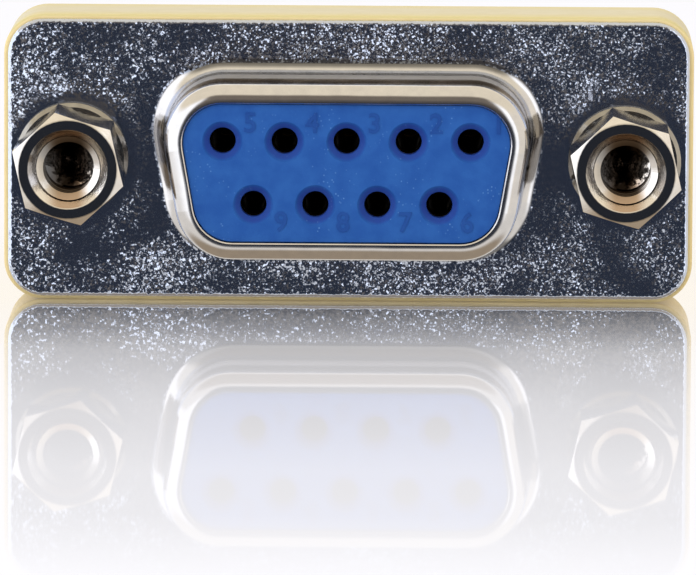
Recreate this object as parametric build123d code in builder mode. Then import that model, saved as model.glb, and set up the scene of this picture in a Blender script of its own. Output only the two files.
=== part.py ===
from build123d import *
from math import cos, radians, tan
import os

# Nine-way D-sub gender changer, socket to socket, low profile.
# X runs to the right along the contacts, Z is up and the front looks towards -Y. Millimetres.
# The origin is on the surface it stands on, under the middle of the spacer frame.

# Shells: one drawn steel sheet each, a flange with a D-shaped collar.
sheet = 0.4
flange_end = 2.91
flange_height = 12.6
flange_corner = 1.6
flange_edge_radius = 0.18
screw_spacing = 24.99
screw_hole = 3.05
collar_width = 16.33
collar_height = 7.9
collar_corner = 2.6
collar_reach = 5.6
side_slope = 10
root_radius = 0.75
nose_radius = 0.75
lip_width = 0.82
lip_edge_chamfer = 0.05

# Spacer frame between the flanges.
spacer_depth = 4.8
spacer_overhang = 0.2
spacer_edge_radius = 0.15

# Insulators: a block in the spacer's window and a D-shaped nose in the collar.
window_wall = 0.615
block_height = 10.2
block_corner = 0.8
face_recess = 0.25
insulator_clearance = 0.05

# The nine ways: five over four.
way_spacing = 2.77
row_spacing = 2.84
ways_in_rows = (5, 4)
entry_hole = 1.18
entry_depth = 0.8
funnel_mouth = 1.8
funnel_angle = 80

# Contacts: formed from one strip, a sleeve at each end of a cranked web.
strip = 0.28
web_width = 0.56
sleeve_outside = 1.62
sleeve_bore = 1.06
sleeve_root = 1.2
bend_radius = 0.12
tine_length = 2.9
tine_slot = 0.2
mouth_chamfer = 0.08
contact_clearance = 0.08

# Jack sockets with 4-40 threads, drawn as plain cylinders.
hex_flats = 4.5
hex_length = 4.0
hex_ring = 4.4
hex_chamfer_angle = 30
hex_turn = {"front_left": 43, "front_right": 43, "rear_left": 22, "rear_right": 51}
thread_minor = 2.28
thread_depth = 3.35
thread_step = 2.98
thread_step_depth = 0.14
countersink_mouth = 3.6
countersink_angle = 90
drill_point_angle = 118
stud_diameter = 2.8
stud_engagement = 2.0
stud_tip_chamfer = 0.3
relief_diameter = 2.1
relief_length = 0.5

# Split lock washers.
washer_outside = 5.1
washer_bore = 3.0
washer_thickness = 0.55
washer_edge_chamfer = 0.18
washer_split = 0.25
washer_split_lean = 30
washer_turn = {"front_left": 290, "front_right": 200, "rear_left": 35, "rear_right": 160}

# Threaded bushes through the spacer.
bush_outside = 4.2
bush_clearance = 0.03
bush_thread_clearance = 0.03
bush_groove_width = 1.2
bush_groove_depth = 0.2
bush_mouth_chamfer = 0.25

# Widths along X: the flange ends beyond the screws, and thin walls of the spacer part the blocks
# from the bushes.
flange_width = screw_spacing + 2 * flange_end
block_width = (screw_spacing - bush_outside
               - 2 * (bush_clearance + window_wall + insulator_clearance))

# Levels, measured outwards from the middle of the part towards either end.
flange_back = spacer_depth / 2
flange_front = flange_back + sheet
collar_front = flange_front + collar_reach
insulator_face = collar_front - face_recess
entry_end = insulator_face - entry_depth
sleeve_mouth = entry_end - contact_clearance
hex_base = flange_front + washer_thickness
centre_height = flange_height / 2 + spacer_overhang

# The rear half is the front half turned half a turn about the X axis, so its D stands on its head.
# Seen from either end the ways then carry the same numbers, joined one to one.
halves = {
    "front": Plane(origin=(0, 0, centre_height), x_dir=(1, 0, 0), z_dir=(0, -1, 0)),
    "rear": Plane(origin=(0, 0, centre_height), x_dir=(1, 0, 0), z_dir=(0, 1, 0)),
}
screw_places = {"left": -screw_spacing / 2, "right": screw_spacing / 2}

# Way 1 is at the right-hand end of the long row, seen from the front, and the numbers run to the left.
ways = []
for row, count in enumerate(ways_in_rows):
    for place in range(count):
        ways.append((((count - 1) / 2 - place) * way_spacing, row_spacing * (0.5 - row)))


# The collar's D: a trapezoid wider at the top, grown by the corner radius less the inset.
def d_outline(inset):
    Trapezoid(collar_width - 2 * collar_corner, collar_height - 2 * collar_corner,
              90 - side_slope, rotation=180)
    offset(amount=collar_corner - inset, kind=Kind.ARC)


# A plane through a screw's axis, from the given level, with its Y direction pointing out of the end.
def axial_plane(half, x, level):
    return Plane(origin=half.from_local_coords(Vector(x, 0, level)), x_dir=half.x_dir, z_dir=-half.y_dir)


# A plane across a washer's middle, facing the given way round its axis.
def split_plane(half, x, turn):
    centre = half.from_local_coords(Vector(x, 0, flange_front + washer_thickness / 2))
    facing = half.x_dir.rotate(Axis(centre, half.z_dir), turn)
    return Plane(origin=centre, x_dir=half.z_dir.cross(facing), z_dir=facing)


# The longest hole in a flat face.
def largest_opening(face):
    return face.inner_wires().sort_by(SortBy.LENGTH)[-1].edges()


for side, half in halves.items():
    outward = Axis(half.origin, half.z_dir)

    # Drawn shell.
    with BuildPart() as shell:
        with BuildSketch(half.offset(flange_back)):
            RectangleRounded(flange_width, flange_height, flange_corner)
            with Locations(*[(x, 0) for x in screw_places.values()]):
                Circle(screw_hole / 2, mode=Mode.SUBTRACT)
        extrude(amount=sheet)
        flange_face = shell.faces().filter_by(outward).group_by(outward)[-1][0]
        fillet(flange_face.outer_wire().edges(), flange_edge_radius)
        with BuildSketch(half.offset(flange_front)):
            d_outline(0)
        extrude(amount=collar_reach)
        levels = shell.faces().filter_by(outward).group_by(outward)
        fillet(largest_opening(levels[1][0]), root_radius)
        levels = shell.faces().filter_by(outward).group_by(outward)
        fillet(levels[-1][0].outer_wire().edges(), nose_radius)
        with BuildSketch(half.offset(flange_back)):
            d_outline(sheet)
        extrude(amount=collar_reach, mode=Mode.SUBTRACT)
        levels = shell.faces().filter_by(outward).group_by(outward)
        fillet(levels[-2][0].outer_wire().edges(), nose_radius - sheet)
        levels = shell.faces().filter_by(outward).group_by(outward)
        fillet(largest_opening(levels[0][0]), root_radius + sheet)
        with BuildSketch(half.offset(collar_front)):
            d_outline(lip_width)
        extrude(amount=-sheet, mode=Mode.SUBTRACT)
        levels = shell.faces().filter_by(outward).group_by(outward)
        chamfer(largest_opening(levels[-1][0]), lip_edge_chamfer)
    shell.part.label = f"{side}_shell"
    export_step(shell.part, f"parts/{side}_shell.step")

    # Insulator: block, nose up to the lip with its edge clear of the shell's bend, and face through the lip.
    with BuildPart() as insulator:
        with BuildSketch(half):
            RectangleRounded(block_width, block_height, block_corner)
        extrude(amount=flange_back)
        with BuildSketch(half.offset(flange_back)):
            d_outline(sheet + insulator_clearance)
        extrude(amount=collar_reach - insulator_clearance)
        nose_end = insulator.faces().filter_by(outward).sort_by(outward)[-1]
        chamfer(nose_end.outer_wire().edges(), nose_radius - sheet - insulator_clearance)
        with BuildSketch(half.offset(flange_back + collar_reach - insulator_clearance)):
            d_outline(lip_width + insulator_clearance)
        extrude(amount=insulator_face - flange_back - collar_reach + insulator_clearance)
        with BuildSketch(half):
            with Locations(*ways):
                Circle(sleeve_outside / 2 + contact_clearance)
        extrude(amount=entry_end, mode=Mode.SUBTRACT)
        with Locations(half.offset(insulator_face)):
            with Locations(*ways):
                CounterSinkHole(entry_hole / 2, funnel_mouth / 2, depth=entry_depth,
                                counter_sink_angle=funnel_angle)
        with BuildSketch(half):
            with Locations(*[(x, 0) for x, _ in ways]):
                Rectangle(web_width + 2 * contact_clearance,
                          row_spacing + sleeve_outside + 2 * contact_clearance)
        extrude(amount=strip / 2 + contact_clearance, mode=Mode.SUBTRACT)
    insulator.part.label = f"{side}_insulator"
    export_step(insulator.part, f"parts/{side}_insulator.step")

# Spacer frame: a window for the insulator blocks and a bore for each bush.
with BuildPart() as spacer_frame:
    with BuildSketch(halves["front"].offset(-spacer_depth / 2)):
        RectangleRounded(flange_width + 2 * spacer_overhang, flange_height + 2 * spacer_overhang,
                         flange_corner + spacer_overhang)
        RectangleRounded(block_width + 2 * insulator_clearance, block_height + 2 * insulator_clearance,
                         block_corner + insulator_clearance, mode=Mode.SUBTRACT)
        with Locations(*[(x, 0) for x in screw_places.values()]):
            Circle(bush_outside / 2 + bush_clearance, mode=Mode.SUBTRACT)
    extrude(amount=spacer_depth)
    ends = spacer_frame.faces().filter_by(Axis.Y).sort_by(Axis.Y)
    fillet(ends[0].outer_wire().edges() + ends[-1].outer_wire().edges(), spacer_edge_radius)
spacer_frame.part.label = "spacer_frame"
export_step(spacer_frame.part, "parts/spacer_frame.step")

# Contacts: the web lies between the two insulators and crosses from one row to the other.
for number, (x, y) in enumerate(ways, start=1):
    towards = 1 if y > 0 else -1
    web_reach = row_spacing / 2 + sleeve_outside / 2
    side_view = Plane(origin=(x, 0, centre_height), x_dir=(0, 0, towards), z_dir=(towards, 0, 0))
    with BuildPart() as contact:
        with BuildSketch(side_view):
            Rectangle(2 * web_reach, strip)
            with Locations((web_reach, -strip / 2)):
                Rectangle(strip, sleeve_root + strip, align=(Align.MAX, Align.MIN))
            with Locations((-web_reach, strip / 2)):
                Rectangle(strip, sleeve_root + strip, align=(Align.MIN, Align.MAX))
        extrude(amount=web_width / 2, both=True)
        creases = contact.edges().filter_by(Axis.X)
        inner = creases.filter_by(lambda edge: abs(abs(edge.center().Y) - strip / 2) < strip / 10)
        fillet(inner.sort_by(lambda edge: abs(edge.center().Z - centre_height))[:2], bend_radius)
        outer = contact.edges().filter_by(Axis.X).sort_by(
            lambda edge: abs(edge.center().Y) - abs(edge.center().Z - centre_height))
        fillet(outer[:2], bend_radius + strip)
        for half in halves.values():
            with BuildSketch(half.offset(sleeve_root)):
                with Locations((x, y)):
                    Circle(sleeve_outside / 2)
            extrude(amount=sleeve_mouth - sleeve_root)
            with BuildSketch(half.offset(sleeve_root)):
                with Locations((x, y)):
                    Circle(sleeve_bore / 2)
            extrude(amount=sleeve_mouth - sleeve_root, mode=Mode.SUBTRACT)
        mouths = contact.faces().filter_by(Axis.Y).sort_by(Axis.Y)
        chamfer(mouths[0].inner_wires().edges() + mouths[-1].inner_wires().edges(), mouth_chamfer)
        for half in halves.values():
            with BuildSketch(half.offset(sleeve_mouth)):
                with Locations((x, y)):
                    Rectangle(sleeve_outside, tine_slot)
            extrude(amount=-tine_length, mode=Mode.SUBTRACT)
    contact.part.label = f"contact_{number}"
    export_step(contact.part, f"parts/contact_{number}.step")

# Threaded bushes, grooved round the middle.
for hand, x in screw_places.items():
    with BuildPart() as bush:
        with BuildSketch(halves["front"].offset(-spacer_depth / 2)):
            with Locations((x, 0)):
                Circle(bush_outside / 2)
                Circle(stud_diameter / 2 + bush_thread_clearance, mode=Mode.SUBTRACT)
        extrude(amount=spacer_depth)
        chamfer(bush.edges().filter_by(GeomType.CIRCLE).group_by(SortBy.RADIUS)[0], bush_mouth_chamfer)
        with BuildSketch(halves["front"].offset(-bush_groove_width / 2)):
            with Locations((x, 0)):
                Circle(bush_outside / 2)
                Circle(bush_outside / 2 - bush_groove_depth, mode=Mode.SUBTRACT)
        extrude(amount=bush_groove_width, mode=Mode.SUBTRACT)
    bush.part.label = f"{hand}_threaded_bush"
    export_step(bush.part, f"parts/{hand}_threaded_bush.step")

# Jack sockets and their washers, one at each end of each bush.
stud_length = washer_thickness + sheet + stud_engagement
hex_corner = hex_flats / 2 / cos(radians(30))
hex_rise = (hex_corner - hex_ring / 2) * tan(radians(hex_chamfer_angle))
countersink_depth = (countersink_mouth - thread_step) / 2 / tan(radians(countersink_angle / 2))
step_end = countersink_depth + thread_step_depth
lead_end = step_end + (thread_step - thread_minor) / 2
drill_point = thread_minor / 2 / tan(radians(drill_point_angle / 2))

for side, half in halves.items():
    for hand, x in screw_places.items():
        name = f"{side}_{hand}"
        outward = Axis(half.from_local_coords(Vector(x, 0, 0)), half.z_dir)

        with BuildPart() as jack_socket:
            with BuildSketch(axial_plane(half, x, hex_base)):
                with BuildLine():
                    Polyline((0, 0), (hex_ring / 2, 0), (hex_corner, hex_rise),
                             (hex_corner, hex_length - hex_rise), (hex_ring / 2, hex_length),
                             (0, hex_length), close=True)
                make_face()
            revolve(axis=outward)
            with BuildSketch(half.offset(hex_base)):
                with Locations((x, 0)):
                    RegularPolygon(hex_flats / 2, 6, major_radius=False, rotation=hex_turn[name])
            extrude(amount=hex_length, mode=Mode.INTERSECT)
            with BuildSketch(axial_plane(half, x, hex_base + hex_length)):
                with BuildLine():
                    Polyline((0, 0), (countersink_mouth / 2, 0), (thread_step / 2, -countersink_depth),
                             (thread_step / 2, -step_end), (thread_minor / 2, -lead_end),
                             (thread_minor / 2, -thread_depth), (0, -thread_depth - drill_point),
                             close=True)
                make_face()
            revolve(axis=outward, mode=Mode.SUBTRACT)
            with BuildSketch(half.offset(hex_base)):
                with Locations((x, 0)):
                    Circle(stud_diameter / 2)
            extrude(amount=-stud_length)
            tip = jack_socket.faces().filter_by(outward).group_by(outward)[0]
            chamfer(tip.edges(), stud_tip_chamfer)
            with BuildSketch(half.offset(hex_base)):
                with Locations((x, 0)):
                    Circle(stud_diameter / 2)
                    Circle(relief_diameter / 2, mode=Mode.SUBTRACT)
            extrude(amount=-relief_length, mode=Mode.SUBTRACT)
        jack_socket.part.label = f"{name}_jack_socket"
        export_step(jack_socket.part, f"parts/{name}_jack_socket.step")

        with BuildPart() as lock_washer:
            with BuildSketch(half.offset(flange_front)):
                with Locations((x, 0)):
                    Circle(washer_outside / 2)
                    Circle(washer_bore / 2, mode=Mode.SUBTRACT)
            extrude(amount=washer_thickness)
            rims = lock_washer.edges().filter_by(GeomType.CIRCLE).group_by(SortBy.RADIUS)
            chamfer(rims[-1], washer_edge_chamfer)
            with BuildSketch(split_plane(half, x, washer_turn[name])):
                Rectangle(washer_split, 2 * washer_outside, rotation=washer_split_lean)
            extrude(amount=washer_outside, mode=Mode.SUBTRACT)
        lock_washer.part.label = f"{name}_lock_washer"
        export_step(lock_washer.part, f"parts/{name}_lock_washer.step")
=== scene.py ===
import bmesh
import bpy
from math import pi, radians, tan
from mathutils import Matrix, Vector


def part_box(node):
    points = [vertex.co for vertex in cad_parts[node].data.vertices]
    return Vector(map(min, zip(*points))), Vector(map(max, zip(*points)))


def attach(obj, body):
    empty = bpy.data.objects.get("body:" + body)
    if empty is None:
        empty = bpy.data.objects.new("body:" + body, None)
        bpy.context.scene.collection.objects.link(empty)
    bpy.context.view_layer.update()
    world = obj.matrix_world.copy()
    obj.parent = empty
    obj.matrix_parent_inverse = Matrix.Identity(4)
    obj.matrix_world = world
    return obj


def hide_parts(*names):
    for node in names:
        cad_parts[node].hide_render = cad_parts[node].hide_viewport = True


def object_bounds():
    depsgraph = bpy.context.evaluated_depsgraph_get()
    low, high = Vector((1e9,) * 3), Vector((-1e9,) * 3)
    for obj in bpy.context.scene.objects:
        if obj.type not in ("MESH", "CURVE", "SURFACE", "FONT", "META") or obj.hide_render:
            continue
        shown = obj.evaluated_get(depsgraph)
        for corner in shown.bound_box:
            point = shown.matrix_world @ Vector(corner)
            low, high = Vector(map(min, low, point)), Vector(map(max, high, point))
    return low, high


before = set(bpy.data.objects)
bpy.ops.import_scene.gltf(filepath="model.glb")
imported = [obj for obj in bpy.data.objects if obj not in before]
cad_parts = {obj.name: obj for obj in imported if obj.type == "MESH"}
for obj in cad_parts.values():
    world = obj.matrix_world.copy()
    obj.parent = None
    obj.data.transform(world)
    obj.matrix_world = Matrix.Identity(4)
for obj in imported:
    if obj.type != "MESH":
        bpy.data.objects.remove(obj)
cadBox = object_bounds()
mm = 0.001

sides = {"front": -1, "rear": 1}  # which way each end looks along y
hands = ("left", "right")


def middle(node):
    low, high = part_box(node)
    return (low + high) / 2


centre = middle("spacer_frame")
screwX = {hand: middle(f"front_{hand}_lock_washer").x for hand in hands}
flangeFront = abs(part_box("front_left_lock_washer")[1].y)  # from the middle to a flange's outer face
hexEnd = abs(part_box("front_left_jack_socket")[0].y)
halfTurn = Matrix.Translation(centre) @ Matrix.Rotation(pi, 4, "X") @ Matrix.Translation(-centre)
print("frame loaded:", len(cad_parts), "nodes")


# A number or vector that comes out of a node, so that sums can be written as sums.
class Value:
    def __init__(self, paint, out):
        self.paint, self.out = paint, out

    def other(self, name):  # another output of the same node
        return Value(self.paint, self.out.node.outputs[name])

    def __add__(self, term):
        return self.paint.sum("ADD", self, term)

    def __sub__(self, term):
        return self.paint.sum("SUBTRACT", self, term)

    def __rsub__(self, term):
        return self.paint.sum("SUBTRACT", term, self)

    def __mul__(self, term):
        return self.paint.sum("MULTIPLY", self, term)

    def __truediv__(self, term):
        return self.paint.sum("DIVIDE", self, term)

    def __abs__(self):
        return self.paint.sum("ABSOLUTE", self)

    def __neg__(self):
        return self.paint.sum("MULTIPLY", self, -1)

    __radd__, __rmul__ = __add__, __mul__


# A node tree and the one way to put a node in it.
class Paint:
    def __init__(self, name=None):
        if name:
            self.block = bpy.data.materials.new(name)
        else:
            self.block = bpy.data.worlds.new("studio")
            bpy.context.scene.world = self.block
        self.block.use_nodes = True
        self.tree = self.block.node_tree
        self.tree.nodes.clear()

    def node(self, kind, settings=None, sockets=None, out=0):
        made = self.tree.nodes.new(kind)
        for key, setting in (settings or {}).items():
            if key == "stops":
                self.setStops(made.color_ramp, setting)
            else:
                setattr(made, key, setting)
        for key, given in (sockets or {}).items():
            if isinstance(given, Value):
                self.tree.links.new(given.out, made.inputs[key])
            else:
                made.inputs[key].default_value = given
        return Value(self, made.outputs[out]) if made.outputs else made

    def setStops(self, ramp, stops):
        while len(ramp.elements) < len(stops):
            ramp.elements.new(0.5)
        for element, (place, colour) in zip(ramp.elements, stops):
            element.position, element.color = place, (*colour, 1)

    def sum(self, operation, *terms):
        return self.node("ShaderNodeMath", {"operation": operation}, dict(enumerate(terms)))

    def parts(self, vector):
        split = self.node("ShaderNodeSeparateXYZ", sockets={0: vector})
        return [split.other(axis) for axis in "XYZ"]

    def step(self, value, low, high):  # 0 below low, 1 above high, smooth between
        return self.node("ShaderNodeMapRange", {"interpolation_type": "SMOOTHSTEP"},
                         {"Value": value, "From Min": low, "From Max": high})

    def mix(self, factor, first, second):  # colours as three numbers, or as what comes out of a node
        first, second = ((*c, 1) if isinstance(c, tuple) else c for c in (first, second))
        return self.node("ShaderNodeMix", {"data_type": "RGBA"}, {0: factor, 6: first, 7: second}, out=2)

    def band(self, value, rise, fall):  # 1 between two edges, 0 outside
        return self.step(value, *rise) * (1 - self.step(value, *fall))

    def noise(self, place, size, detail=2.0, out=0):  # size is a feature's width in metres
        sockets = {"Vector": place, "Scale": 1 / size, "Detail": detail}
        return self.node("ShaderNodeTexNoise", sockets=sockets, out=out)

    def cells(self, place, size):
        return self.node("ShaderNodeTexVoronoi", sockets={"Vector": place, "Scale": 1 / size})

    def vector(self, operation, *terms, out=0, **sockets):
        sockets.update(enumerate(terms))
        return self.node("ShaderNodeVectorMath", {"operation": operation}, sockets, out=out)

    def lean(self, noise, amount):  # a noise's colour as a vector either way of nothing
        return self.vector("SCALE", self.vector("SUBTRACT", noise, (0.5, 0.5, 0.5)), Scale=amount)

    def finish(self, shader):
        kind = "World" if isinstance(self.block, bpy.types.World) else "Material"
        self.node("ShaderNodeOutput" + kind, sockets={"Surface": shader})
        return self.block


def colour(red, green, blue):  # from a picture's 0 to 255 to the shader's linear values
    return tuple(((c / 255 + 0.055) / 1.055) ** 2.4 for c in (red, green, blue))


# The nine ways: the long row is the upper one at the front and the lower one at the rear.
wayPlaces = {"pitch": 2.77 * mm, "rows": 2.84 * mm, "counts": (5, 4)}


def fromAxis(paint, across, up):
    joined = paint.node("ShaderNodeCombineXYZ", sockets={"X": across, "Y": up})
    return paint.vector("LENGTH", joined, out="Value")


def fromWay(paint, place):  # distance from the nearest way's axis
    x, y, z = paint.parts(place)
    half = wayPlaces["pitch"] / 2
    inShortRow = paint.sum("GREATER_THAN", (z - centre.z) * y, 0)
    pastEnd = paint.sum("GREATER_THAN", abs(x) + inShortRow * half, half * wayPlaces["counts"][0])
    across = paint.sum("PINGPONG", abs(x) + inShortRow * half, half) + pastEnd
    return fromAxis(paint, across, abs(z - centre.z) - wayPlaces["rows"] / 2)


def fromScrew(paint, place):
    x, y, z = paint.parts(place)
    return fromAxis(paint, abs(x) - screwX["right"], z - centre.z)


# Plated sheet: a bright metal whose fine crystals lean every way, in coarser and finer patches. It is smooth
# round the screws and on the collar, and painted shade darkens a band round the collar's side and its roots.
platingLook = {
    "bright": (0.68, 0.675, 0.69), "dull": (0.54, 0.54, 0.57), "mottle": 0.5 * mm,
    "roughness": 0.09, "roughnessSpread": 0.07, "flangeTint": (0.86, 0.96, 1.16),
    "grain": 0.13 * mm, "grainLean": 1.13, "ripple": 1.8 * mm, "rippleLean": 0.06,
    "patch": 2.2 * mm, "patchEdges": (0.34, 0.62), "leastGrain": 0.56,
    # places on the flange: across, up, reach and how much coarser
    "spots": [(-14.6 * mm, 2.6 * mm, 3.2 * mm, 0.55), (-7.4 * mm, -4.3 * mm, 2.4 * mm, 0.35),
              (9.8 * mm, 3.0 * mm, 2.2 * mm, 0.45), (0, 5.4 * mm, 6.0 * mm, 0.20),
              (12.4 * mm, -4.4 * mm, 4.2 * mm, -0.12), (-11.6 * mm, -5.0 * mm, 3.0 * mm, -0.22)],
    "spotCore": 0.2,
    "smoothRoundScrew": (2.5 * mm, 3.3 * mm),
    "smoothBesideCollar": {"across": (8.9 * mm, 10.8 * mm), "up": (2.6 * mm, 4.6 * mm), "share": 0.45},
    # how far the grain climbs the collar's root, and how much further along its top
    "climb": (0.001 * mm, 0.012 * mm), "climbOnTop": 0.06 * mm, "onTop": (3.7 * mm, 4.1 * mm),
}
# Painted shade on the collar: a dark band round its side with a painted brown reflection, and darker roots
# above and below
collarLook = {
    "sideFrom": (5.1 * mm, 5.9 * mm), "sideTo": (6.9 * mm, 7.6 * mm), "sideShade": 0.4,
    "sideShadeTint": (0.24, 0.19, 0.16),
    "mattFrom": (3.55 * mm, 3.75 * mm), "mattTo": (5.0 * mm, 5.8 * mm), "mattRoughness": 0.30,
    "rootFrom": (0, 0.02 * mm),
    "rootAbove": {"height": (3.7 * mm, 4.1 * mm), "to": (0.10 * mm, 0.26 * mm), "shade": 0.70},
    "rootBelow": {"height": (3.4 * mm, 3.8 * mm), "to": (0.55 * mm, 0.80 * mm), "shade": 0.70},
}


def crystals(paint, place, onFlange):  # how strongly the grains lean
    look = platingLook
    x, y, z = paint.parts(place)
    beside = look["smoothBesideCollar"]
    smooth = (1 - paint.step(abs(x), *beside["across"])) * (1 - paint.step(abs(z - centre.z), *beside["up"]))
    patches = paint.step(paint.noise(place, look["patch"], 3), *look["patchEdges"])
    coarse = (patches * (1 - look["leastGrain"]) + look["leastGrain"]) * (1 - smooth * beside["share"])
    for across, up, reach, more in look["spots"]:
        away = fromAxis(paint, x - across, z - centre.z - up)
        coarse = coarse + (1 - paint.step(away, look["spotCore"] * reach, reach)) * more
    return coarse * paint.step(fromScrew(paint, place), *look["smoothRoundScrew"]) * onFlange


# painted shade on the collar's side band and roots, taken off the base colour
def collarShade(paint, up, rise, onSide):
    look = collarLook
    shade = onSide * look["sideShade"]
    for root, height in ((look["rootAbove"], up), (look["rootBelow"], -up)):
        inRoot = paint.step(height, *root["height"]) * paint.band(rise, look["rootFrom"], root["to"])
        shade = paint.sum("MAXIMUM", shade, inRoot * root["shade"])
    return shade


def platedSteel():
    look, collar = platingLook, collarLook
    paint = Paint("platedSteel")
    place = paint.node("ShaderNodeTexCoord", out="Object")
    x, y, z = paint.parts(place)
    up, rise = z - centre.z, abs(y) - flangeFront
    climb = rise - paint.step(up, *look["onTop"]) * look["climbOnTop"]
    onFlange = 1 - paint.step(climb, *look["climb"])
    onSide = paint.band(abs(y), collar["sideFrom"], collar["sideTo"])
    onMatt = paint.band(abs(y), collar["mattFrom"], collar["mattTo"])
    grains = paint.noise(place, look["grain"], 2, out="Color")
    waves = paint.noise(place, look["ripple"], 1, out="Color")
    lean = paint.vector("ADD", paint.lean(grains, crystals(paint, place, onFlange) * look["grainLean"]),
                        paint.lean(waves, look["rippleLean"]))
    facing = paint.node("ShaderNodeNewGeometry", out="Normal")
    mottle = paint.noise(place, look["mottle"], 4)
    metal = paint.vector("MULTIPLY", paint.mix(mottle, look["bright"], look["dull"]),
                         paint.mix(onFlange, (1, 1, 1), look["flangeTint"]))
    shader = paint.node("ShaderNodeBsdfPrincipled", sockets={
        # the base colour carries the collar's painted shade, the specular tint its painted brown reflection
        "Base Color": paint.vector("SCALE", metal, Scale=1 - collarShade(paint, up, rise, onSide)),
        "Metallic": 1.0,
        "Specular Tint": paint.mix(onSide, (1, 1, 1), collar["sideShadeTint"]),
        "Roughness": mottle * look["roughnessSpread"] + look["roughness"] + onMatt * collar["mattRoughness"],
        "Normal": paint.vector("NORMALIZE", paint.vector("ADD", facing, lean)),
    })
    return paint.finish(shader)


# Nickel on the turned pieces. The washers are duller and rougher.
nickelLook = {
    "socket": {"metal": (0.80, 0.79, 0.80), "dull": (0.66, 0.62, 0.58), "roughness": 0.06, "spread": 0.10,
               "grit": 0.25},
    "washer": {"metal": (0.82, 0.80, 0.76), "dull": (0.50, 0.47, 0.44), "roughness": 0.12, "spread": 0.14,
               "grit": 0.5},
}
turnedLook = {"cloud": 0.6 * mm, "grit": 0.08 * mm, "gritHeight": 0.01 * mm}
# Painted shade on a jack socket, darker or browner: edges, heights and sides from its axis, depths from its
# outer end.
socketShades = {
    "end": {"depth": (0.01 * mm, 0.04 * mm), "shade": 0.6},
    "flats": {"edge": (1.95 * mm, 2.05 * mm), "depth": (0.5 * mm, 0.7 * mm), "shade": 0.5},
    # cone: a painted brown reflection above and below the axis, and painted shade on its top
    "cone": {"edge": (1.84 * mm, 1.88 * mm), "depth": (0.02 * mm, 0.06 * mm), "paintedBrown": (0.44, 0.33, 0.25),
             "side": (0.35 * mm, 1.15 * mm), "height": (0.1 * mm, 1.1 * mm), "shade": 0.5},
    # bore: painted shade deep inside, lifted on its right and on the bottom's right half as a painted glint
    "bore": {"edge": (1.42 * mm, 1.50 * mm), "depth": (0.4 * mm, 1.3 * mm), "shade": 0.10,
             "glintSide": (0.5 * mm, 1.1 * mm), "glint": 0.8},
    "bottom": {"depth": (3.1 * mm, 3.3 * mm), "side": (0, 0.5 * mm), "grain": 0.30 * mm, "lean": 0.35},
}


def nickel(name):
    look, turned = nickelLook[name], turnedLook
    end, flats, cone, bore, bottom = socketShades.values()
    paint = Paint(name + "Nickel")
    place = paint.node("ShaderNodeTexCoord", out="Object")
    x, y, z = paint.parts(place)
    deep, away = hexEnd - abs(y), fromScrew(paint, place)
    toRight = x - paint.sum("SIGN", x) * screwX["right"]
    atBottom = paint.step(deep, *bottom["depth"])
    onEnd = 1 - paint.step(deep, *end["depth"])
    onFlats = paint.step(away, *flats["edge"]) * paint.step(deep, *flats["depth"])
    onCone = (1 - paint.step(away, *cone["edge"])) * paint.step(deep, *cone["depth"])
    inBore = (1 - paint.step(away, *bore["edge"])) * paint.step(deep, *bore["depth"])
    inBore = inBore * (1 - paint.step(toRight, *bore["glintSide"]) * bore["glint"])
    inBore = inBore * (1 - atBottom * paint.step(toRight, *bottom["side"]))
    onTop = onCone * paint.step(z - centre.z, *cone["height"])
    # painted shade and painted glints, multiplied into the base colour
    light = 1
    for where, part in ((onEnd, end), (onFlats, flats), (onTop, cone), (inBore, bore)):
        light = (1 - where * (1 - part["shade"])) * light
    cloud = paint.noise(place, turned["cloud"], 4)
    metal = paint.mix(cloud, look["metal"], look["dull"])
    # painted brown reflection on the cone above and below the axis
    metal = paint.mix(onCone * (1 - paint.step(abs(toRight), *cone["side"])), metal, cone["paintedBrown"])
    grains = paint.noise(place, bottom["grain"], 2, out="Color")
    facing = paint.vector("ADD", paint.node("ShaderNodeNewGeometry", out="Normal"),
                          paint.lean(grains, atBottom * bottom["lean"]))
    bump = paint.node("ShaderNodeBump", sockets={
        "Strength": look["grit"], "Distance": turned["gritHeight"],
        "Height": paint.noise(place, turned["grit"], 2), "Normal": facing,
    })
    shader = paint.node("ShaderNodeBsdfPrincipled", sockets={
        "Base Color": paint.vector("SCALE", metal, Scale=light),
        "Metallic": 1.0,
        "Roughness": cloud * look["spread"] + look["roughness"],
        "Normal": bump,
    })
    return paint.finish(shader)


# Moulded plastics: a base colour with a slow mottle and a few pale specks, and painted shade in the holes'
# funnels.
plasticLook = {
    "blue": {"base": colour(31, 80, 158), "other": colour(38, 90, 167), "roughness": 0.42, "speck": 0.5,
             "shine": 0.15, "funnelShade": 0.5},
    # the digits' darker blue is painted shade on their moulded relief
    "digits": {"base": colour(30, 70, 144), "other": colour(34, 76, 150), "roughness": 0.45, "speck": 0.2,
               "shine": 0.1, "funnelShade": 0.0},
    "cream": {"base": colour(222, 203, 150), "other": colour(226, 208, 158), "roughness": 0.42, "speck": 0.1,
              "shine": 0.25, "funnelShade": 0.0},
}
mouldLook = {"mottle": 0.9 * mm, "mottleEdges": (0.3, 0.7), "mottleRoughness": 0.1,
             "grain": 0.12 * mm, "grainHeight": 0.02 * mm, "grainStrength": 0.3,
             "specks": 0.22 * mm, "speckEdges": (0.05, 0.22), "speckColour": colour(120, 170, 225),
             "speckPatch": 1.3 * mm, "speckPatchEdges": (0.5, 0.7)}
# Painted light on the cream spacer's top faces
topLightLook = {"upright": (0.15, 0.60), "middle": colour(196, 190, 165), "edge": colour(200, 190, 142),
             "along": (0.6 * mm, 2.4 * mm)}
funnelShadeLook = {"edge": (0.74 * mm, 0.90 * mm), "colour": colour(44, 50, 138)}


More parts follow.
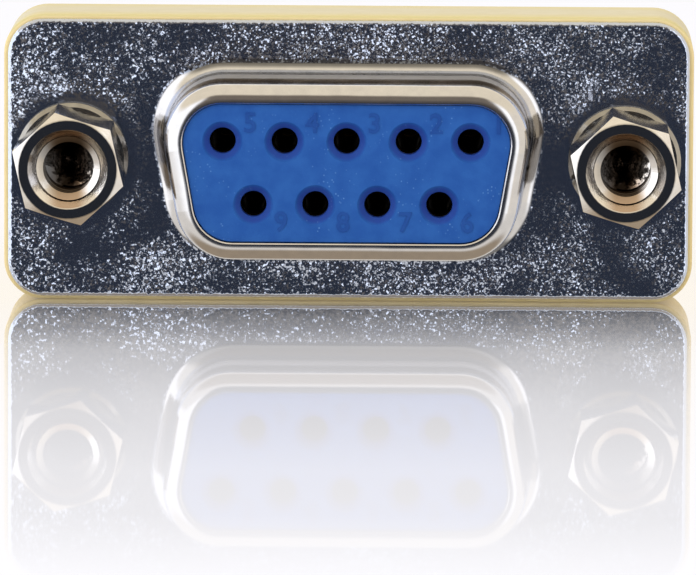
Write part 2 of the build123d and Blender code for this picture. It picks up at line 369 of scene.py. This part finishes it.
def plastic(name):
    look, mould, topLight = plasticLook[name], mouldLook, topLightLook
    paint = Paint(name + "Plastic")
    place = paint.node("ShaderNodeTexCoord", out="Object")
    mottle = paint.step(paint.noise(place, mould["mottle"], 4), *mould["mottleEdges"])
    specks = 1 - paint.step(paint.cells(place, mould["specks"]), *mould["speckEdges"])
    specks = specks * paint.step(paint.noise(place, mould["speckPatch"]), *mould["speckPatchEdges"])
    base = paint.mix(mottle, look["base"], look["other"])
    base = paint.mix(specks * look["speck"], base, mould["speckColour"])
    # painted shade in the holes' funnels
    if look["funnelShade"]:
        near = 1 - paint.step(fromWay(paint, place), *funnelShadeLook["edge"])
        base = paint.mix(near * look["funnelShade"], base, funnelShadeLook["colour"])
    if name == "cream":  # painted light on top: paler, more so towards the middle
        upright = paint.parts(paint.node("ShaderNodeNewGeometry", out="Normal"))[2]
        along = abs(paint.parts(place)[1])
        pale = paint.mix(paint.step(along, *topLight["along"]), topLight["middle"], topLight["edge"])
        base = paint.mix(paint.step(upright, *topLight["upright"]), base, pale)
    bump = paint.node("ShaderNodeBump", sockets={
        "Strength": mould["grainStrength"], "Distance": mould["grainHeight"],
        "Height": paint.noise(place, mould["grain"], 3),
    })
    shader = paint.node("ShaderNodeBsdfPrincipled", sockets={
        "Base Color": base,
        "Roughness": mottle * mould["mottleRoughness"] + look["roughness"],
        "Normal": bump,
        "Specular IOR Level": look["shine"],
    })
    return paint.finish(shader)


# Gold on the contacts, with painted shade darkening them inside their sleeves.
contactLook = {"gold": (0.83, 0.60, 0.26), "worn": (0.60, 0.42, 0.20), "cloud": 0.4 * mm,
               "roughness": 0.25, "spread": 0.15, "sleeve": (0.58 * mm, 0.62 * mm), "sleeveShade": 0.04}


def goldFlash():
    look = contactLook
    paint = Paint("goldFlash")
    place = paint.node("ShaderNodeTexCoord", out="Object")
    # painted shade inside the sleeves
    inSleeve = 1 - paint.step(fromWay(paint, place), *look["sleeve"])
    cloud = paint.noise(place, look["cloud"], 3)
    gold = paint.mix(cloud, look["gold"], look["worn"])
    shader = paint.node("ShaderNodeBsdfPrincipled", sockets={
        "Base Color": paint.vector("SCALE", gold, Scale=1 - inSleeve * (1 - look["sleeveShade"])),
        "Metallic": 1.0,
        "Roughness": cloud * look["spread"] + look["roughness"],
    })
    return paint.finish(shader)


finishes = {
    "shell": platedSteel(), "jack_socket": nickel("socket"), "lock_washer": nickel("washer"),
    "insulator": plastic("blue"), "spacer": plastic("cream"), "contact": goldFlash(),
}
finishes["bush"] = finishes["contact"]
for name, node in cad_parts.items():
    key = next(word for word in finishes if word in name)
    for slot in node.material_slots:
        slot.material = finishes[key]
print("finishes on the frame's nodes")


def addPiece(name, bm, material, replaced=None):
    mesh = bpy.data.meshes.new(name)
    bm.to_mesh(mesh)
    bm.free()
    if "custom_normal" in mesh.attributes:  # the frame's normals don't suit a changed form
        mesh.attributes.remove(mesh.attributes["custom_normal"])
    mesh.materials.append(material)
    piece = bpy.data.objects.new(name, mesh)
    bpy.context.scene.collection.objects.link(piece)
    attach(piece, "root")
    if replaced:
        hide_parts(replaced)
    return piece


# Jack sockets: the frame's own form, with the bore opened to the thread's root and the thread put in.
threadLook = {"minor": 1.14 * mm, "major": 1.43 * mm, "pitch": 0.635 * mm, "crest": 0.08 * mm,
              "flankAngle": radians(30), "sunk": 0.01 * mm, "boreFrom": 0.5 * mm, "from": 0.62 * mm,
              "to": 3.35 * mm, "steps": 40, "smoothBelow": radians(25)}


def openBore(bm, axis, out, look):
    for vertex in bm.verts:
        away = Vector((vertex.co.x - axis.x, 0, vertex.co.z - axis.z))
        deep = (axis.y - vertex.co.y) * out
        inBore = look["minor"] * 0.98 < away.length < look["major"]
        if inBore and look["boreFrom"] < deep < look["to"] + look["sunk"]:
            vertex.co += away.normalized() * (look["major"] - away.length)


def addThread(bm, axis, out, look):
    root, crest = look["major"] + look["sunk"], look["crest"]
    foot = crest + (look["major"] - look["minor"]) * tan(look["flankAngle"])
    profile = [(root, -foot), (look["minor"], -crest), (look["minor"], crest), (root, foot)]
    first = axis.y - out * look["from"]
    corners = [bm.verts.new((axis.x + r, first + y, axis.z)) for r, y in profile]
    section = bm.faces.new(corners)
    turns = (look["to"] - look["from"]) / look["pitch"]
    bmesh.ops.spin(bm, geom=[section, *section.edges, *corners], axis=(0, -out, 0), cent=axis,
                   dvec=(0, -out * look["pitch"] / look["steps"], 0), angle=2 * pi * turns,
                   steps=round(turns * look["steps"]), use_merge=False, use_normal_flip=False)


for side, out in sides.items():
    for hand in hands:
        name = f"{side}_{hand}_jack_socket"
        axis = Vector((screwX[hand], out * hexEnd, centre.z))
        bm = bmesh.new()
        bm.from_mesh(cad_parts[name].data)
        bmesh.ops.remove_doubles(bm, verts=bm.verts, dist=0.0001 * mm)
        openBore(bm, axis, out, threadLook)
        addThread(bm, axis, out, threadLook)
        bmesh.ops.recalc_face_normals(bm, faces=bm.faces)
        for face in bm.faces:
            face.smooth = True
        socket = addPiece(f"{name}_threaded", bm, finishes["jack_socket"], name)
        socket.data.set_sharp_from_angle(angle=threadLook["smoothBelow"])
print("threads cut in the jack sockets")

# Way numbers, moulded beside the holes. Places are from the middle of the front face.
digitLook = {"height": 1.25 * mm, "proud": 0.04 * mm, "sunk": 0.05 * mm, "aside": 1.24 * mm, "away": 0.8 * mm,
             "weight": 0.02 * mm}


def digitMesh(digit, look):
    text = bpy.data.curves.new("digit", "FONT")
    text.body, text.size, text.align_x, text.align_y = digit, look["height"], "CENTER", "CENTER"
    text.extrude, text.offset, text.resolution_u = (look["proud"] + look["sunk"]) / 2, look["weight"], 3
    carrier = bpy.data.objects.new("digit", text)
    mesh = bpy.data.meshes.new_from_object(carrier)
    bpy.data.objects.remove(carrier)
    return mesh


def wayDigits(look, face):
    bm = bmesh.new()
    y = face - (look["proud"] - look["sunk"]) / 2
    number = 0
    for row, count in enumerate(wayPlaces["counts"]):
        for place in range(count):
            number += 1
            x = ((count - 1) / 2 - place) * wayPlaces["pitch"] + look["aside"]
            z = (0.5 - row) * wayPlaces["rows"] + look["away"] * (1, -1)[row]
            mesh = digitMesh(str(number), look)
            mesh.transform(Matrix.Translation((x, y, centre.z + z)) @ Matrix.Rotation(pi / 2, 4, "X"))
            bm.from_mesh(mesh)
    bmesh.ops.remove_doubles(bm, verts=bm.verts, dist=0.0005 * mm)
    bmesh.ops.recalc_face_normals(bm, faces=bm.faces)
    return bm


digitPlastic = plastic("digits")
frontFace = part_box("front_insulator")[0].y
for side in sides:
    bm = wayDigits(digitLook, frontFace)
    if side == "rear":
        bmesh.ops.transform(bm, matrix=halfTurn, verts=bm.verts)
    addPiece(f"{side}_way_digits", bm, digitPlastic)
print("way numbers on both faces")

# Floor: pale and glossy, mirroring what stands close and turning matt further out.
floorLook = {"radius": 3.0, "white": (0.37, 0.39, 0.48), "glow": 0.50, "matt": 0.9, "gloss": 0.02,
             "fadeLength": 80 * mm,
             # how strongly it mirrors, from the part's foot out to the fade's length
             "fade": [(0.0, 0.95), (0.06, 0.82), (0.11, 0.73), (0.16, 0.60), (0.20, 0.50), (0.30, 0.40),
                      (0.39, 0.32), (0.52, 0.26), (0.63, 0.20), (0.77, 0.18), (0.87, 0.10), (1.0, 0.0)]}


def floorPaint(look):
    paint = Paint("floor")
    x, y, z = paint.parts(paint.node("ShaderNodeTexCoord", out="Object"))
    away = paint.sum("MAXIMUM", abs(y) - flangeFront, abs(x) - cadBox[1].x)
    mirror = paint.node("ShaderNodeValToRGB", {"stops": [(p, (k, k, k)) for p, k in look["fade"]]},
                        {0: away / look["fadeLength"]})
    matt = paint.node("ShaderNodeBsdfPrincipled", sockets={
        "Base Color": (*look["white"], 1), "Roughness": look["matt"], "Specular IOR Level": 0.0,
        "Emission Color": (1, 1, 1, 1), "Emission Strength": look["glow"],
    })
    gloss = paint.node("ShaderNodeBsdfPrincipled", sockets={
        "Base Color": (1, 1, 1, 1), "Metallic": 1.0, "Roughness": look["gloss"],
    })
    return paint.finish(paint.node("ShaderNodeMixShader", sockets={0: mirror, 1: matt, 2: gloss}))


def addStage(name, bm, material):
    mesh = bpy.data.meshes.new(name)
    bm.to_mesh(mesh)
    bm.free()
    mesh.materials.append(material)
    stage = bpy.data.objects.new(name, mesh)
    bpy.context.scene.collection.objects.link(stage)
    stage.visible_glossy = False  # the plating mirrors the studio instead
    return stage


bm = bmesh.new()
bmesh.ops.create_circle(bm, cap_ends=True, segments=96, radius=floorLook["radius"])
addStage("floor", bm, floorPaint(floorLook))

# Backdrop: a white dome that only the camera sees.
backdropLook = {"radius": 3.6, "glow": 0.97}


def backdropPaint(look):
    paint = Paint("backdrop")
    light = paint.node("ShaderNodeEmission", sockets={"Color": (1, 1, 1, 1), "Strength": look["glow"]})
    return paint.finish(light)


bm = bmesh.new()
bmesh.ops.create_icosphere(bm, subdivisions=4, radius=backdropLook["radius"])
bmesh.ops.reverse_faces(bm, faces=bm.faces)
dome = addStage("backdrop", bm, backdropPaint(backdropLook))
dome.visible_diffuse = dome.visible_shadow = dome.visible_transmission = False

# Studio: what the plating mirrors. It is dark straight in front and browner further up, then white all round,
# cream at the far right and overhead, pale and then tan below, and pale straight behind.
studioLook = {
    "dark": (0.034, 0.040, 0.054), "brown": (0.24, 0.20, 0.16), "brownFrom": (-0.05, 0.35),
    "darkLeft": (0.22, 0.44), "darkRight": (0.24, 0.62), "darkTop": (0.75, 1.25), "darkBottom": (0.34, 0.60),
    "white": (1.7, 1.7, 1.7),
    "cream": (1.12, 1.02, 0.86), "creamFrom": (0.85, 1.2),
    "overhead": (1.12, 0.99, 0.76), "overheadFrom": (0.42, 0.66),
    "pale": (1.0, 0.95, 0.87), "paleFrom": (0.18, 0.34),
    "tan": (0.45, 0.36, 0.26), "tanFrom": (0.55, 0.80),
    "behind": (1.0, 0.94, 0.85), "behindFrom": (0.86, 0.93),
}


def studio(look):
    paint = Paint()
    across, along, up = paint.parts(paint.node("ShaderNodeTexCoord", out="Generated"))
    ahead = paint.sum("MAXIMUM", -along, 0.02)
    side, lift = across / ahead, up / ahead
    inDark = 1
    for toEdge, name in ((-side, "darkLeft"), (side, "darkRight"), (lift, "darkTop"), (-lift, "darkBottom")):
        inDark = (1 - paint.step(toEdge, *look[name])) * inDark
    light = look["white"]
    for toEdge, name in ((side, "cream"), (up, "overhead"), (-up, "pale"), (-up, "tan"), (along, "behind")):
        light = paint.mix(paint.step(toEdge, *look[name + "From"]), light, look[name])
    dark = paint.mix(paint.step(lift, *look["brownFrom"]), look["dark"], look["brown"])
    sky = paint.mix(inDark, light, dark)
    return paint.finish(paint.node("ShaderNodeBackground", sockets={"Color": sky}))


studio(studioLook)

# Softboxes that light the plastics and the floor: place, size, watts and tint. Each looks at the part.
lampLook = {
    "overhead": ((0.0, -0.1, 0.6), (0.7, 0.7), 0.55, (0.90, 0.96, 1.0)),
    "front": ((-0.15, -0.6, 0.35), (0.5, 0.4), 1.3, (1.0, 1.0, 1.0)),
}
for name, (place, size, watts, tint) in lampLook.items():
    lamp = bpy.data.lights.new(name, "AREA")
    lamp.shape, lamp.size, lamp.size_y, lamp.energy, lamp.color = "RECTANGLE", *size, watts, tint
    holder = bpy.data.objects.new(name, lamp)
    bpy.context.scene.collection.objects.link(holder)
    holder.location = place
    holder.rotation_euler = (centre - Vector(place)).to_track_quat("-Z", "Y").to_euler()
    holder.visible_glossy = False
print("floor, studio and softboxes")

# Camera: a long lens a little above the part, aimed so that the floor's mirror image shows.
cameraLook = {"distance": 399.26 * mm, "right": 0.01 * mm, "up": 5.78 * mm, "yaw": radians(-0.86),
              "pitch": radians(7.55), "roll": radians(-0.29), "lens": 456.51724, "sensor": 36}
turn = (Matrix.Rotation(pi / 2, 3, "X") @ Matrix.Rotation(-cameraLook["yaw"], 3, "Y")
        @ Matrix.Rotation(-cameraLook["pitch"], 3, "X") @ Matrix.Rotation(-cameraLook["roll"], 3, "Z"))
lens = bpy.data.cameras.new("camera")
lens.lens, lens.sensor_width = cameraLook["lens"], cameraLook["sensor"]
lens.clip_start, lens.clip_end = 0.01, 20
camera = bpy.data.objects.new("camera", lens)
camera.location = Vector((0, -flangeFront, centre.z)) + turn @ Vector(
    (-cameraLook["right"], -cameraLook["up"], cameraLook["distance"]))
camera.rotation_euler = turn.to_euler()
bpy.context.scene.collection.objects.link(camera)
bpy.context.scene.camera = camera
bpy.context.scene.view_settings.view_transform = "Standard"
print("camera at", [round(v / mm, 1) for v in camera.location])
